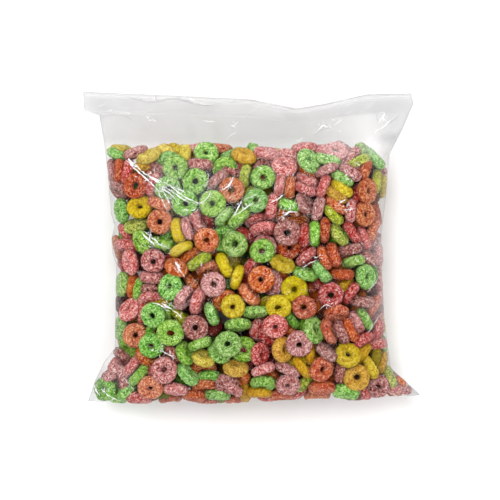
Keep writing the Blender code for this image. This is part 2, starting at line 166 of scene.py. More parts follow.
# Rings seen at the front, by hue, as (across, height, turn, width, layer): the middle in pixels, the
# angle of the long axis in degrees anticlockwise from level, the short axis in pixels (26 is face on,
# 11 edge on), and how many rings it lies behind. The last values are left out where they are usual.
USUAL_RING = (0, 0, 0, 26, 0)
SEEN = {
    "green": [
        (118, 155, -35, 13), (170, 163, 0, 24, 1), (176, 168), (122, 211, -80, 16), (169, 189, 0, 24),
        (196, 182), (186, 204), (206, 154, 0, 24), (201, 147, 0, 20, 2), (251, 151, 80, 17, 1),
        (226, 170, 10, 24, 1), (263, 178), (256, 201), (213, 204), (225, 217, 50, 13), (239, 219, 42, 13),
        (290, 205, -10, 13), (309, 161, -45, 20), (302, 155, 10, 16, 1), (364, 151, -50, 18),
        (374, 158, -45, 13), (327, 160, -8, 13), (341, 178, -32, 12), (123, 238, 80, 10, 2),
        (142, 242, -65, 17), (163, 243, -12, 13), (140, 289, 78, 11, 1), (122, 284, 80, 15),
        (171, 286, 90, 24), (235, 244, 0, 27), (262, 251), (314, 234, 88, 11), (352, 261, 10, 12),
        (365, 277, 80, 22), (305, 274, -20, 13), (321, 271, -52, 12), (154, 315, 90, 25), (171, 332),
        (152, 345, 0, 25), (129, 347, -50, 20, 1), (122, 329, 80, 13), (172, 312, 70, 14, 1),
        (140, 374, 45, 12), (101, 389, -70, 16), (115, 393, -45, 13, 1), (127, 391, 45, 13),
        (185, 353, -60, 18, 1), (188, 373, -50, 16), (200, 343, 25, 13), (256, 311, 8, 13),
        (238, 324, 4, 14), (228, 343, 0, 27), (219, 352, -30, 24, 1), (292, 319, -55, 13, 1),
        (313, 330, -75, 23), (364, 318, -62, 12), (209, 378, 0, 18, 1), (218, 393, -4, 12),
        (263, 382, 0, 17, 1), (346, 392, -12, 18), (232, 152, 20, 15, 1), (212, 313, -72, 12),
    ],
    "lime": [
        (376, 182, 80, 13), (200, 262, 30, 14), (391, 379, -70, 14), (245, 176, 80, 12),
        (357, 161, 15, 12), (333, 214, -55, 13), (339, 235, -50, 15), (137, 226, 20, 16),
        (305, 382, 35, 13, 1), (181, 316, -40, 12, 1),
    ],
    "orange": [
        (400, 383, 75, 11, 1), (154, 171, -30, 17, 1), (161, 204, -8, 12), (161, 222),
        (190, 157, 60, 14, 2), (221, 148, 0, 14, 1), (232, 190), (290, 188, 84, 11), (288, 215, 0, 25, 1),
        (309, 173, -30, 14, 1), (346, 167, -30, 16, 1), (364, 171, 80, 12), (336, 205, -40, 13),
        (192, 255, 35, 12, 1), (177, 267, -30, 20), (134, 285, 85, 11, 1), (118, 247, -70, 12, 1),
        (194, 283, -50, 14, 1), (207, 240), (208, 269, 15, 20, 1), (261, 279), (249, 294, -50, 14),
        (225, 300, 20, 22, 1), (372, 231, 65, 11), (136, 335), (147, 357, -40, 18, 1),
        (204, 368, 0, 20, 1), (237, 376, 0, 19, 1), (267, 378, 10, 14, 1), (291, 331, -40, 12, 1),
        (151, 387, 0, 24), (205, 385, 0, 18, 1), (317, 396, 3, 12, 1), (367, 191, -75, 20),
        (364, 214, -80, 21),
    ],
    "rust": [
        (119, 171, 85, 14), (136, 186), (375, 213, -80, 12, 1), (289, 248, 0, 26, 1), (324, 230, 87, 11),
        (324, 258, -65, 13), (333, 255, -75, 12), (341, 274, -5, 12), (313, 288, 0, 14, 2),
        (303, 306, 0, 25), (336, 312, 5, 19), (328, 331, -65, 15), (350, 329, -62, 13), (373, 307, 50, 12),
        (321, 368, 70, 21), (330, 372, 70, 20, 1), (170, 398, 5, 13, 1), (195, 396, 10, 15),
        (205, 400, 0, 11, 1), (236, 399, 0, 11, 1), (281, 395, 0, 14, 1), (322, 387, 4, 13),
    ],
    "yellow": [
        (118, 146, -28, 12), (149, 157, 18, 14), (141, 207, 25, 23), (169, 150, -50, 12),
        (184, 154, 78, 12), (384, 184, -75, 11, 1), (179, 231, -75, 13), (182, 249, 25, 13),
        (282, 263, -25, 18), (225, 265, -62, 12), (238, 277, 68, 12), (233, 306, 0, 27), (278, 307),
        (294, 289), (204, 357, -8, 17), (370, 366, -55, 12), (383, 322, 80, 11, 1), (347, 354, -20, 24),
        (341, 189, -45, 13),
    ],
    "amber": [
        (146, 168, 10, 14, 1), (344, 288, 60, 13, 1), (283, 349, 80, 22), (362, 353, 70, 12, 1),
        (382, 363, 80, 11), (356, 377), (311, 353, 80, 16, 1), (244, 157, -20, 15), (282, 152, -40, 12, 1),
        (335, 195, -35, 12), (236, 367, -5, 18), (246, 390, 80, 14, 1), (260, 391, 0, 15, 1),
        (302, 366, -48, 12), (135, 320, 0, 16, 2),
    ],
    "mauve": [
        (112, 171, 90, 11), (200, 165, 8, 13), (230, 173, 0, 16, 1), (262, 170, 0, 24, 2),
        (351, 157, 45, 12), (326, 170, 30, 12), (349, 172, -35, 13), (318, 209, 75, 12),
        (189, 229, -70, 15), (214, 284), (272, 283, 90, 22, 1), (153, 277, -5, 12), (110, 374, 30, 15),
        (123, 378, -70, 15), (165, 369), (184, 297, 60, 17), (299, 343, 0, 25), (355, 322, -60, 11),
        (288, 368, -25, 12), (231, 387, -32, 13), (288, 384, 0, 24), (379, 386, 0, 24),
        (373, 243, 40, 11, 1), (345, 149, -50, 14), (383, 171, -30, 11, 1), (154, 261),
    ],
    "plum": [
        (136, 152, 38, 11), (119, 189, -55, 17), (218, 181, 40, 13), (304, 204, -60, 19),
        (287, 233, 0, 27), (349, 250, 15, 11), (152, 288, 5, 12, 1), (196, 327), (174, 352, -50, 12, 1),
        (342, 331, -70, 13), (361, 300, -10, 14), (326, 351, -35, 14), (341, 371, 80, 12, 1),
        (367, 257, -40, 12), (121, 356, -20, 15),
    ],
    "rose": [
        (155, 184, 70, 14, 1), (160, 149, 0, 12, 1), (193, 148, 20, 14, 1), (242, 168, 25, 13, 1),
        (267, 154, -12, 13), (280, 184, 80, 11), (272, 207, 80, 12), (284, 167, -15, 20),
        (288, 160, 0, 22, 1), (256, 221, 20, 17, 1), (305, 148, 10, 18, 1), (320, 150, 0, 14, 1),
        (335, 152, -10, 20), (323, 187, 72, 12), (307, 180, -25, 14, 1), (350, 211, 85, 11),
        (198, 221, -70, 14), (127, 235, -60, 12, 1), (128, 245, 0, 11), (131, 262, -80, 17),
        (152, 301, 0, 20, 1), (198, 301, 75, 13), (131, 309, 40, 19), (144, 311, 80, 12, 1),
        (132, 366, 45, 12), (378, 256, -80, 11, 1), (275, 325, 0, 24), (260, 329, 60, 20, 1),
        (247, 352, 60, 20, 1), (263, 369, 20, 13), (376, 316, 40, 11, 1), (375, 344, 10, 11),
        (405, 391, 3, 11), (139, 398, -10, 13), (176, 389, -10, 13), (298, 394, 30, 13, 1),
        (378, 280, -80, 12, 1), (380, 300, 80, 11, 1), (362, 393, -60, 13),
    ],
    "crimson": [
        (127, 172, 75, 13), (153, 193, -60, 14, 2), (263, 229, 10, 15), (305, 189, -20, 14),
        (356, 195, 80, 12, 1), (168, 260, 40, 11, 2), (252, 267, 50, 14, 1), (304, 235, 85, 11),
        (351, 233, -50, 12), (363, 238, -65, 12), (306, 257, 45, 13), (350, 293, 60, 12),
        (330, 295, 0, 27), (260, 353, 80, 20), (379, 330, 70, 12), (362, 341, 40, 15),
        (269, 397, -15, 12, 1),
    ],
}
# Each kind has a second tone: these are rings of the kind in it.
ODD_TONES = {"lime": "green", "rust": "orange", "amber": "yellow", "plum": "mauve", "crimson": "rose"}
# The share of the other rings that have it, and of those that are of the kind of the nearest held ring.
ODD_SHARE = 0.3
CLUSTERED = 0.55
# How much deeper each layer of the seen rings lies than the one before it.
LAYER_DEPTH = 5.6 * MM
# The other rings stay at least this far behind the front film, or below this share of the thickness.
FREE_DEPTH = 9.5 * MM
FREE_SHARE = 0.35
# How much darker the rings deep inside are, since little light gets to them.
DEEP_SHADE = 0.75
# How much brighter the rings at the top are, and between which rows that fades.
TOP_LIGHT = 0.18
TOP_ROWS_PX = (150, 174)
# How far from the film the shade starts and ends, and the held rings' share of it.
SHADE_FROM = 8 * MM
SHADE_TO = 18 * MM
HELD_SHARE = 0.25
# Rings nearer than this are finer: held ones to the front film, others to it, and others to either film.
HELD_NEAR = 15 * MM
FRONT_NEAR = 18 * MM
WALL_NEAR = 14 * MM


def metres_x(px):
    return (np.asarray(px, float) - MIDDLE_X_PX) * PIXEL


def metres_y(px):
    return (MIDDLE_Y_PX - np.asarray(px, float)) * PIXEL


def pixel_x(x):
    return np.asarray(x, float) / PIXEL + MIDDLE_X_PX


def pixel_y(y):
    return MIDDLE_Y_PX - np.asarray(y, float) / PIXEL


def along(table, at):
    """The values of a table of (place, value) pairs at these places."""
    places, values = zip(*table)
    return np.interp(at, places, values)


def smooth(low, high, at):
    """0 below low, 1 above high and a soft step between them."""
    t = np.clip((np.asarray(at, float) - low) / (high - low), 0, 1)
    return t * t * (3 - 2 * t)


def edges_at(row):
    return metres_x(along(LEFT_EDGE, row)), metres_x(along(RIGHT_EDGE, row))


def body_edges_at(row):
    """Where the filled body's rounded sides start, inside the flat corners of the bottom."""
    left, right = edges_at(row)
    share = smooth(CORNER_FROM_PX, BOTTOM_ROW_PX, row)
    left_from, right_from = edges_at(CORNER_FROM_PX)
    corner_left = left_from + share * (metres_x(CORNER_LEFT_PX) - left_from)
    corner_right = right_from + share * (metres_x(CORNER_RIGHT_PX) - right_from)
    low = np.asarray(row) > CORNER_FROM_PX
    left = np.where(low, np.maximum(left, corner_left), left)
    return left, np.where(low, np.minimum(right, corner_right), right)


def rounding(x, low, high, width):
    """0 at the body's sides, rising on a rounded shoulder to 1 inside them."""
    inside = np.maximum(np.minimum(x - low, high - x), 0)
    t = np.minimum(inside / np.minimum(width, (high - low) / 2), 1)
    return (1 - (1 - t) ** 2.2) ** 0.52


def side_height(x, row):
    body = SIDE_SHARE * along(THICKNESS, MIDDLE_ROW_PX)
    wave = STRIP_WAVE * np.sin(x / (31 * MM) + 0.8) + 0.4 * STRIP_WAVE * np.sin(x / (11 * MM))
    strip = STRIP_HEIGHT + wave
    return strip + (body - strip) * smooth(STRIP_LINE_PX, FILL_LINE_PX + 20, row)


def corner_rise(x, row):
    """The thin filled wedge between the film's edge and the body, in the bottom corners."""
    left, right = edges_at(row)
    low, high = body_edges_at(row)
    at_left = np.clip((x - left) / np.maximum(low - left, 0.5 * MM), 0, 1) * (low - left > 0.5 * MM)
    at_right = np.clip((right - x) / np.maximum(right - high, 0.5 * MM), 0, 1) * (right - high > 0.5 * MM)
    rise = np.where(x > 0, at_right, at_left)
    fade = smooth(CORNER_FROM_PX, CORNER_FROM_PX + CORNER_RISE_PX, row)
    fade = fade * (1 - smooth(*CORNER_FADE_PX, row))
    return rise * CORNER_HEIGHT * fade


def film_heights(x, row):
    """The height of the film's front and back at these places."""
    low, high = body_edges_at(row)
    thick = along(THICKNESS, row)
    side = side_height(x, row)
    full_side = SIDE_SHARE * thick
    front_rise = (thick - full_side) * rounding(x, low, high, FRONT_ROUNDING)
    back_drop = BACK_REACH * np.minimum(full_side, side) * rounding(x, low, high, BACK_ROUNDING)
    corner = corner_rise(x, row)
    front = side + np.maximum(front_rise, corner) + FILM_EDGE / 2
    back = side - np.maximum(back_drop, 0.6 * corner) - FILM_EDGE / 2
    return front, np.maximum(back, FILM_FLOOR)


def bend_to_edges(x, row):
    """The height in pixels of a place in a row, once the rows follow the top and bottom edges."""
    across = pixel_x(x)
    at_bottom = 1 - smooth(*BOTTOM_BEND_PX, BOTTOM_ROW_PX - row)
    at_top = 1 - smooth(*TOP_BEND_PX, row - TOP_ROW_PX)
    y_px = row + at_bottom * (along(BOTTOM_EDGE, across) - BOTTOM_ROW_PX)
    return y_px + at_top * (along(TOP_EDGE, across) - TOP_ROW_PX)


class Container:
    """The space inside the film, as height maps with their slopes."""

    def __init__(self):
        self.x0, self.y0 = MAP_CORNER
        xs = self.x0 + MAP_STEP * np.arange(MAP_SIZE[0])
        ys = self.y0 + MAP_STEP * np.arange(MAP_SIZE[1])
        x, y = np.meshgrid(xs, ys)
        bend = along(BOTTOM_EDGE, pixel_x(x)) - BOTTOM_ROW_PX
        row = pixel_y(y) - bend * smooth(*BEND_ROWS_PX, pixel_y(y))
        front, back = film_heights(x, np.clip(row, TOP_ROW_PX, BOTTOM_ROW_PX))
        low, high = edges_at(row)
        outside = np.maximum(np.maximum(low - x, x - high), 0)
        outside += np.maximum(row - BOTTOM_ROW_PX, 0) * PIXEL
        middle = (front + back) / 2
        front = np.where(outside > 0, middle - OUTSIDE_SLOPE * outside, front)
        back = np.where(outside > 0, middle + OUTSIDE_SLOPE * outside, back)
        self.maps = []
        for height in (front, back):
            slope_y, slope_x = np.clip(np.gradient(height, MAP_STEP), -STEEPEST, STEEPEST)
            self.maps.append((height, slope_x, slope_y))

    def sample(self, grid, x, y):
        fx = np.clip((x - self.x0) / MAP_STEP, 0, grid.shape[1] - 1.001)
        fy = np.clip((y - self.y0) / MAP_STEP, 0, grid.shape[0] - 1.001)
        i, j = fx.astype(int), fy.astype(int)
        tx, ty = fx - i, fy - j
        return (
            grid[j, i] * (1 - tx) * (1 - ty) + grid[j, i + 1] * tx * (1 - ty)
            + grid[j + 1, i] * (1 - tx) * ty + grid[j + 1, i + 1] * tx * ty
        )

    def surface(self, face, x, y):
        """Height and unit normal (pointing out) of the front (0) or back (1) film."""
        height, slope_x, slope_y = (self.sample(g, x, y) for g in self.maps[face])
        normal = np.stack([-slope_x, -slope_y, np.ones_like(slope_x)], -1)
        normal /= np.linalg.norm(normal, axis=-1, keepdims=True)
        return height, (-normal if face else normal)

    def push_in(self, spots, radius):
        """Moves bead centres so that the beads stay inside the film and under the fill level."""
        for face in (0, 1):
            height, normal = self.surface(face, spots[:, 0], spots[:, 1])
            beyond = (spots[:, 2] - height) * normal[:, 2] + radius
            spots = spots - normal * np.clip(beyond, 0, PUSH_LIMIT)[:, None]
        level = metres_y(along(FILL_LEVEL, pixel_x(spots[:, 0])))
        spots[:, 1] = np.minimum(spots[:, 1], level - radius)
        return spots

    def free_top(self, x, y):
        """The greatest height of a bead of a ring that isn't held, so that it covers no held ring."""
        front, _ = self.surface(0, x, y)
        back, _ = self.surface(1, x, y)
        return np.maximum(front - FREE_DEPTH, back + FREE_SHARE * (front - back))


def turn_matrices(axis_to):
    """Rotations that take +Z to each of these unit vectors."""
    z = axis_to / np.linalg.norm(axis_to, axis=-1, keepdims=True)
    helper = np.where(np.abs(z[:, :1]) < 0.9, [[1.0, 0, 0]], [[0, 1.0, 0]])
    x = np.cross(helper, z)
    x /= np.linalg.norm(x, axis=-1, keepdims=True)
    return np.stack([x, np.cross(z, x), z], -1)


def seen_rings(space):
    """The place, axis and colour of each ring that the photograph shows plainly."""
    places, axes, names = [], [], []
    for name, rings in SEEN.items():
        for ring in rings:
            across, down, turn, width, layer = ring + USUAL_RING[len(ring):]
            short = (width * PIXEL - 2 * TUBE) / (2 * RING_MIDDLE)
            cosine = min(max(short, 0.0), FACE_ON)
            sine = math.sqrt(1 - cosine * cosine)
            long_axis = math.radians(turn)
            x, y = float(metres_x(across)), float(metres_y(down))
            height, normal = space.surface(0, x, y)
            lean = -1 if turn % 180 < 90 else 1
            if normal[2] < STEEP:
                lean = np.sign(normal[1] * math.cos(long_axis) - normal[0] * math.sin(long_axis))
            axis = (-math.sin(long_axis) * sine * lean, math.cos(long_axis) * sine * lean, cosine)
            along_normal = float(np.dot(normal, axis))
            reach = RING_MIDDLE * math.sqrt(max(1 - along_normal ** 2, 0)) + TUBE
            depth = FILM_GAP + reach / max(normal[2], 0.5) + layer * LAYER_DEPTH
            places.append((x, y, height - depth))
            axes.append(axis)
            names.append(name)
    return np.array(places), np.array(axes), names


def scatter(space, count, rng):
    """Random first places for the other rings, spread through the space inside the film."""
    found = []
    while len(found) < count:
        x = rng.uniform(*SCATTER_BOX[0])
        y = rng.uniform(*SCATTER_BOX[1])
        front, _ = space.surface(0, x, y)
        back, _ = space.surface(1, x, y)
        if front - back < THIN * TUBE or pixel_y(y) < along(FILL_LEVEL, pixel_x(x)) + BELOW_LEVEL_PX:
            continue
        z = rng.uniform(*SCATTER_BOX[2])
        if back + TUBE < z < front - TUBE:
            found.append((x, y, z))
    return np.array(found)


def settle(space):
    """Packs the rings: no two overlap much, all stay inside the film, the seen ones keep their places."""
    rng = np.random.default_rng(SEED)
    held, held_axes, held_names = seen_rings(space)
    free = scatter(space, RING_COUNT - len(held), rng)
    centres = np.concatenate([held, free])
    axes = np.concatenate([held_axes, rng.normal(size=(len(free), 3))])
    turns = turn_matrices(axes)
    goal_turns = turns[: len(held)].copy()
    names = held_names + list(rng.choice(list(COLOURS), size=len(free), p=list(COLOURS.values())))
    angles = 2 * math.pi * np.arange(BEADS) / BEADS
    beads = RING_MIDDLE * np.stack([np.cos(angles), np.sin(angles), 0 * angles], -1)
    for step in range(SETTLE_STEPS):
        radius = TUBE * min(1.0, 0.5 + 0.5 * step / GROW_STEPS)
        spots = centres[:, None] + np.einsum("nij,bj->nbi", turns, beads)
        apart = centres[:, None] - centres[None]
        near = np.einsum("ijk,ijk->ij", apart, apart) < (2 * (RING_MIDDLE + radius)) ** 2
        first, second = np.nonzero(np.triu(near, 1))
        gaps = spots[first][:, :, None] - spots[second][:, None]
        far = np.sqrt(np.einsum("pabk,pabk->pab", gaps, gaps))
        pair, a, b = np.nonzero(far < 2 * radius)
        gap, dist = gaps[pair, a, b], np.maximum(far[pair, a, b], 0.01 * MM)
        push = gap * (0.5 * (2 * radius - dist) / dist)[:, None]
        at_first = first[pair] * BEADS + a
        at_second = second[pair] * BEADS + b
        total = len(centres) * BEADS
        hits = np.bincount(at_first, minlength=total) + np.bincount(at_second, minlength=total)
        moved = spots.reshape(-1, 3).copy()
        for k in range(3):
            shift = np.bincount(at_first, push[:, k], total) - np.bincount(at_second, push[:, k], total)
            moved[:, k] += PUSH * shift / np.maximum(hits, 1)
        moved = moved.reshape(spots.shape)
        # The held rings go back across the view, and their depth gives way to the others.
        goals = held[:, None] + np.einsum("nij,bj->nbi", goal_turns, beads)
        goals[:, :, 2] += DEPTH_SLACK * (moved[: len(held), :, 2].mean(1) - held[:, 2])[:, None]
        hold = HOLD if step < SETTLE_STEPS - LATE_STEPS else LATE_HOLD
        moved[: len(held)] += hold * (goals - moved[: len(held)])
        loose = moved[len(held):]
        loose[:, :, 2] = np.minimum(loose[:, :, 2], space.free_top(loose[:, :, 0], loose[:, :, 1]))
        moved = space.push_in(moved.reshape(-1, 3), radius + FILM_GAP).reshape(spots.shape)
        centres = moved.mean(1)
        spread = np.einsum("nbi,bj->nij", moved - centres[:, None], beads)
        u, _, vt = np.linalg.svd(spread)
        flip = np.sign(np.linalg.det(u @ vt))
        u[:, :, 2] *= flip[:, None]
        turns = u @ vt
    overlap = 2 * radius - dist
    mean, most = overlap.mean() / MM, overlap.max() / MM
    print(f"packed {len(centres)} rings, mean overlap {mean:.2f} mm, most {most:.2f} mm")
    odd = np.isin(names, list(ODD_TONES))
    odd[len(held):] = rng.uniform(size=len(free)) < ODD_SHARE
    names = np.array([ODD_TONES.get(name, name) for name in names])
    # The kinds lie in clusters, so many a ring behind the held ones is of the kind of the nearest.
    apart = np.linalg.norm(centres[len(held):, None, :2] - centres[None, : len(held), :2], axis=-1)
    alike = rng.uniform(size=len(free)) < CLUSTERED
    names[len(held):] = np.where(alike, names[apart.argmin(1)], names[len(held):])
    return centres, turns, names, odd, np.arange(len(names)) < len(held)


def ring_meshes(space, centres, turns, odd, dim, around, section, rng):
    """Lumpy rings as one set of arrays: corners, faces and a few numbers for each corner: random tones, with
    painted shade on dim rings and painted light on the rings at the top.
    """
    count = len(centres)
    u = 2 * math.pi * np.arange(around) / around
    v = 2 * math.pi * np.arange(section) / section
    uu, vv = np.meshgrid(u, v, indexing="ij")
    uu, vv = uu[None], vv[None]

    def random(low, high):
        return rng.uniform(low, high, count)[:, None, None]

    def phase():
        return random(0, 2 * math.pi)

    def wave(most, times):
        return random(0, most) * np.cos(times * uu + phase())

    size = random(0.94, 1.05)
    middle = RING_MIDDLE * size * (1 + wave(0.045, 2) + wave(0.02, 3))
    tube = TUBE * size * (1 + wave(0.08, 1) + wave(0.05, 2))
    lumps = np.zeros((count, around, section))
    for turns_round, bends_round, high in LUMPS:
        if turns_round * 3 > around or bends_round * 3 > section:
            continue
        lumps += (
            random(0.5, 1.4) * high * MM
            * np.cos(turns_round * uu + phase()) * np.cos(bends_round * vv + phase())
        )
        lumps += random(0.3, 1.0) * high * MM * np.cos(turns_round * uu - bends_round * vv + phase())
    crumbs = rng.uniform(-1, 1, lumps.shape) * (CRUMBS if around > 40 else 0.6 * CRUMBS)
    reach = tube + lumps + crumbs
    flat = random(0.92, 1.04)
    # The inside of the hole is tighter than a plain ring's.
    out = middle + reach * np.cos(vv) * np.where(np.cos(vv) < 0, random(0.94, 1.06), 1.0)
    local = np.stack([out * np.cos(uu), out * np.sin(uu), reach * flat * np.sin(vv)], -1)
    world = np.einsum("nij,nabj->nabi", turns, local) + centres[:, None, None]
    world = world.reshape(-1, 3)
    for _ in range(4):
        world = space.push_in(world, 0.5 * FILM_GAP)
    i, j = np.meshgrid(np.arange(around), np.arange(section), indexing="ij")
    a = i * section + j
    b = (i + 1) % around * section + j
    c = (i + 1) % around * section + (j + 1) % section
    d = i * section + (j + 1) % section
    quads = np.stack([a, b, c, d], -1).reshape(-1, 4)
    faces = (quads[None] + (np.arange(count) * around * section)[:, None, None]).reshape(-1, 4)
    # Red is the share of the second tone, green is how bright the ring is, and blue how strong its colour:
    # dim rings are darker and stronger, a painted shade, since their light comes from other rings, and the
    # rings at the top, where dim is below zero, are lighter and paler with painted light.
    tones_and_shading = np.zeros((count, 3))
    tones_and_shading[:, 0] = np.where(odd, rng.uniform(0.75, 1.0, count), rng.uniform(0.0, 0.3, count))
    tones_and_shading[:, 1] = rng.uniform(0.88, 1.1, count) * (1 - DEEP_SHADE * dim)
    tones_and_shading[:, 2] = rng.uniform(0.92, 1.08, count) * (1 + 0.6 * dim)
    return world, faces, np.repeat(tones_and_shading, around * section, axis=0)


def grid_faces(rows, columns):
    """Four-sided faces over a grid of corners that are numbered row by row."""
    index = np.arange(rows * columns).reshape(rows, columns)
    corners = (index[:-1, :-1], index[:-1, 1:], index[1:, 1:], index[1:, :-1])
    return np.stack(corners, -1).reshape(-1, 4)


def new_object(name, data):
    obj = bpy.data.objects.new(name, data)
    bpy.context.scene.collection.objects.link(obj)
    return obj


def mesh_object(name, points, faces, numbers_name, numbers):
    """A smooth mesh object with four-sided faces, and an RGB value at each corner for the material."""
    mesh = bpy.data.meshes.new(name)
    mesh.vertices.add(len(points))
    mesh.vertices.foreach_set("co", np.asarray(points, np.float32).ravel())
    mesh.loops.add(faces.size)
    mesh.loops.foreach_set("vertex_index", faces.astype(np.int32).ravel())
    mesh.polygons.add(len(faces))
    mesh.polygons.foreach_set("loop_start", np.arange(0, faces.size, 4, dtype=np.int32))
    mesh.polygons.foreach_set("use_smooth", np.full(len(faces), True))
    mesh.update(calc_edges=True)
    mesh.validate()
    layer = mesh.color_attributes.new(numbers_name, "FLOAT_COLOR", "POINT")
    rgba = np.ones((len(numbers), 4), np.float32)
    rgba[:, :3] = numbers
    layer.data.foreach_set("color", rgba.ravel())
    return new_object(name, mesh)


def linear(*srgb):
    """A colour read off the photograph, 0 to 255, as the shader wants it."""
    share = np.array(srgb) / 255
    low, high = share / 12.92, ((share + 0.055) / 1.055) ** 2.4
    return (*np.where(share <= 0.04045, low, high).tolist(), 1.0)


def nodes_of(name):
    """A new material and its empty node tree."""
    material = bpy.data.materials.new(name)
    material.use_nodes = True
    material.node_tree.nodes.clear()
    return material, material.node_tree


def feed(tree, socket, value):
    """Links a socket to an input, or sets the input where the value is a plain one."""
    if isinstance(value, bpy.types.NodeSocket):
        tree.links.new(value, socket)
    else:
        socket.default_value = value


def add(tree, kind, *values, **settings):
    """Adds a node, with settings by the name of a property or an input, and values for its first inputs."""
    node = tree.nodes.new(f"ShaderNode{kind}")
    for key, value in settings.items():
        if key in node.inputs:
            feed(tree, node.inputs[key], value)
        else:
            setattr(node, key, value)
    for socket, value in zip(node.inputs, values):
        feed(tree, socket, value)
    return node


def maths(tree, operation, *values):
    return add(tree, "Math", *values, operation=operation).outputs[0]


def mix_colour(tree, share, first, second):
    """A colour mixed from two, where each may be a colour or a socket."""
    node = add(tree, "Mix", data_type="RGBA")
    for number, value in ((0, share), (6, first), (7, second)):
        feed(tree, node.inputs[number], value)
    return node.outputs[2]


def remap(tree, value, low, high, to_low=0.0, to_high=1.0):
    """A soft step that takes low and high of a value to two others."""
    ends = {"From Min": low, "From Max": high, "To Min": to_low, "To Max": to_high}
    node = add(tree, "MapRange", interpolation_type="SMOOTHSTEP", Value=value, **ends)
    return node.outputs["Result"]


def noise(tree, place, scale, detail, rough, output="Fac"):
    node = add(tree, "TexNoise", Vector=place, Scale=scale, Detail=detail, Roughness=rough)
    return node.outputs[output]


# How far the brightest sugar grains of each kind go to white.
FROST = {"green": 0.14, "orange": 0.18, "yellow": 0.03, "mauve": 0.25, "rose": 0.28}
# Each kind's dark pits, its body and its pale sugar, and the same in its second tone.
PAINTS = {
    "green": (
        ((22, 101, 1), (64, 132, 16), (159, 206, 110)),
        ((78, 79, 0), (115, 125, 2), (191, 189, 60)),
    ),
    "orange": (
        ((132, 19, 1), (156, 57, 10), (211, 142, 89)),
        ((110, 5, 0), (137, 22, 1), (196, 95, 25)),
    ),
    "yellow": (
        ((147, 114, 0), (164, 136, 0), (208, 199, 44)),
        ((136, 80, 1), (155, 99, 2), (205, 166, 58)),
    ),
    "mauve": (
        ((103, 27, 27), (141, 65, 56), (210, 154, 152)),
        ((78, 15, 11), (113, 46, 37), (183, 129, 120)),
    ),
    "rose": (
        ((143, 11, 13), (163, 55, 47), (217, 163, 159)),
        ((113, 2, 1), (139, 17, 13), (198, 86, 79)),
    ),
}
WHITE_SUGAR = (255, 248, 240)
FILM_CLEAR = (0.985, 0.985, 0.985, 1)
FILM_TINT = (0.45, 0.455, 0.465, 1)


def cereal_material(name):
    """Puffed cereal: a grainy body with darker pits and pale sugar, each ring a little different, with
    painted shade on deep rings and in the crevices between crumbs, and painted light on the rings at the
    top.
    """
    material, tree = nodes_of(f"cereal_{name}")
    place = add(tree, "TexCoord").outputs["Object"]
    tones_and_shading = add(tree, "Attribute", attribute_name="tones_and_shading").outputs["Color"]
    odd, bright, strong = add(tree, "SeparateColor", tones_and_shading).outputs
    patches = noise(tree, place, 520.0, 2.0, 0.6)
    fine = noise(tree, place, 2600.0, 2.0, 0.6)
    grain = noise(tree, place, 1300.0, 3.0, 0.7)
    # Crumbs are uneven cells: some are sugar, some are pits, and each has its own tone.
    warp = noise(tree, place, 1500.0, 2.0, 0.6, "Color")
    pull = (0.5 * MM, 0.5 * MM, 0.5 * MM)
    pulled = add(tree, "VectorMath", warp, pull, place, operation="MULTIPLY_ADD")
    cells = add(tree, "TexVoronoi", Vector=pulled.outputs[0], Scale=1350.0)
    sugared, pocked, _ = add(tree, "SeparateColor", cells.outputs["Color"]).outputs
    crumb = maths(tree, "SUBTRACT", 1.0, cells.outputs["Distance"])
    pit, body, sugar = (
        mix_colour(tree, odd, linear(*first), linear(*second)) for first, second in zip(*PAINTS[name])
    )
    # Sugar lies in patches, and is grainy inside them.
    cover = remap(tree, patches, 0.38, 0.58, 0.25, 1.0)
    grainy = maths(tree, "MULTIPLY", cover, remap(tree, grain, 0.38, 0.6, 0.05, 0.95))
    colour = mix_colour(tree, grainy, body, sugar)
    frost = mix_colour(tree, FROST[name], sugar, linear(*WHITE_SUGAR))
    colour = mix_colour(tree, remap(tree, sugared, 0.66, 0.8, 0.0, 0.85), colour, frost)
    bare = remap(tree, patches, 0.54, 0.42, 0.3, 1.0)
    pitted = maths(tree, "MULTIPLY", remap(tree, pocked, 0.3, 0.24), bare)
    colour = mix_colour(tree, pitted, colour, pit)
    # The low borders of the crumbs, where the bump is lowest, go towards the pit colour: painted shade in
    # these crevices.
    colour = mix_colour(tree, remap(tree, crumb, 0.48, 0.15, 0.0, 0.35), colour, pit)
    # The rings' brightness and strength of colour carry their painted shade and painted light.
    toned = add(tree, "HueSaturation", Value=bright, Saturation=strong, Color=colour)
    bump = add(tree, "Bump", Height=crumb, Strength=0.5, Distance=0.4 * MM)
    bump = add(
        tree, "Bump", Height=fine, Normal=bump.outputs[0], Strength=0.7, Distance=0.25 * MM
    )
    shader = add(tree, "BsdfPrincipled", toned.outputs[0], Normal=bump.outputs[0])
    feed(tree, shader.inputs["Roughness"], remap(tree, fine, 0.3, 0.7, 0.42, 0.72))
    shader.inputs["Specular IOR Level"].default_value = 0.15
    add(tree, "OutputMaterial", shader.outputs[0])
    return material


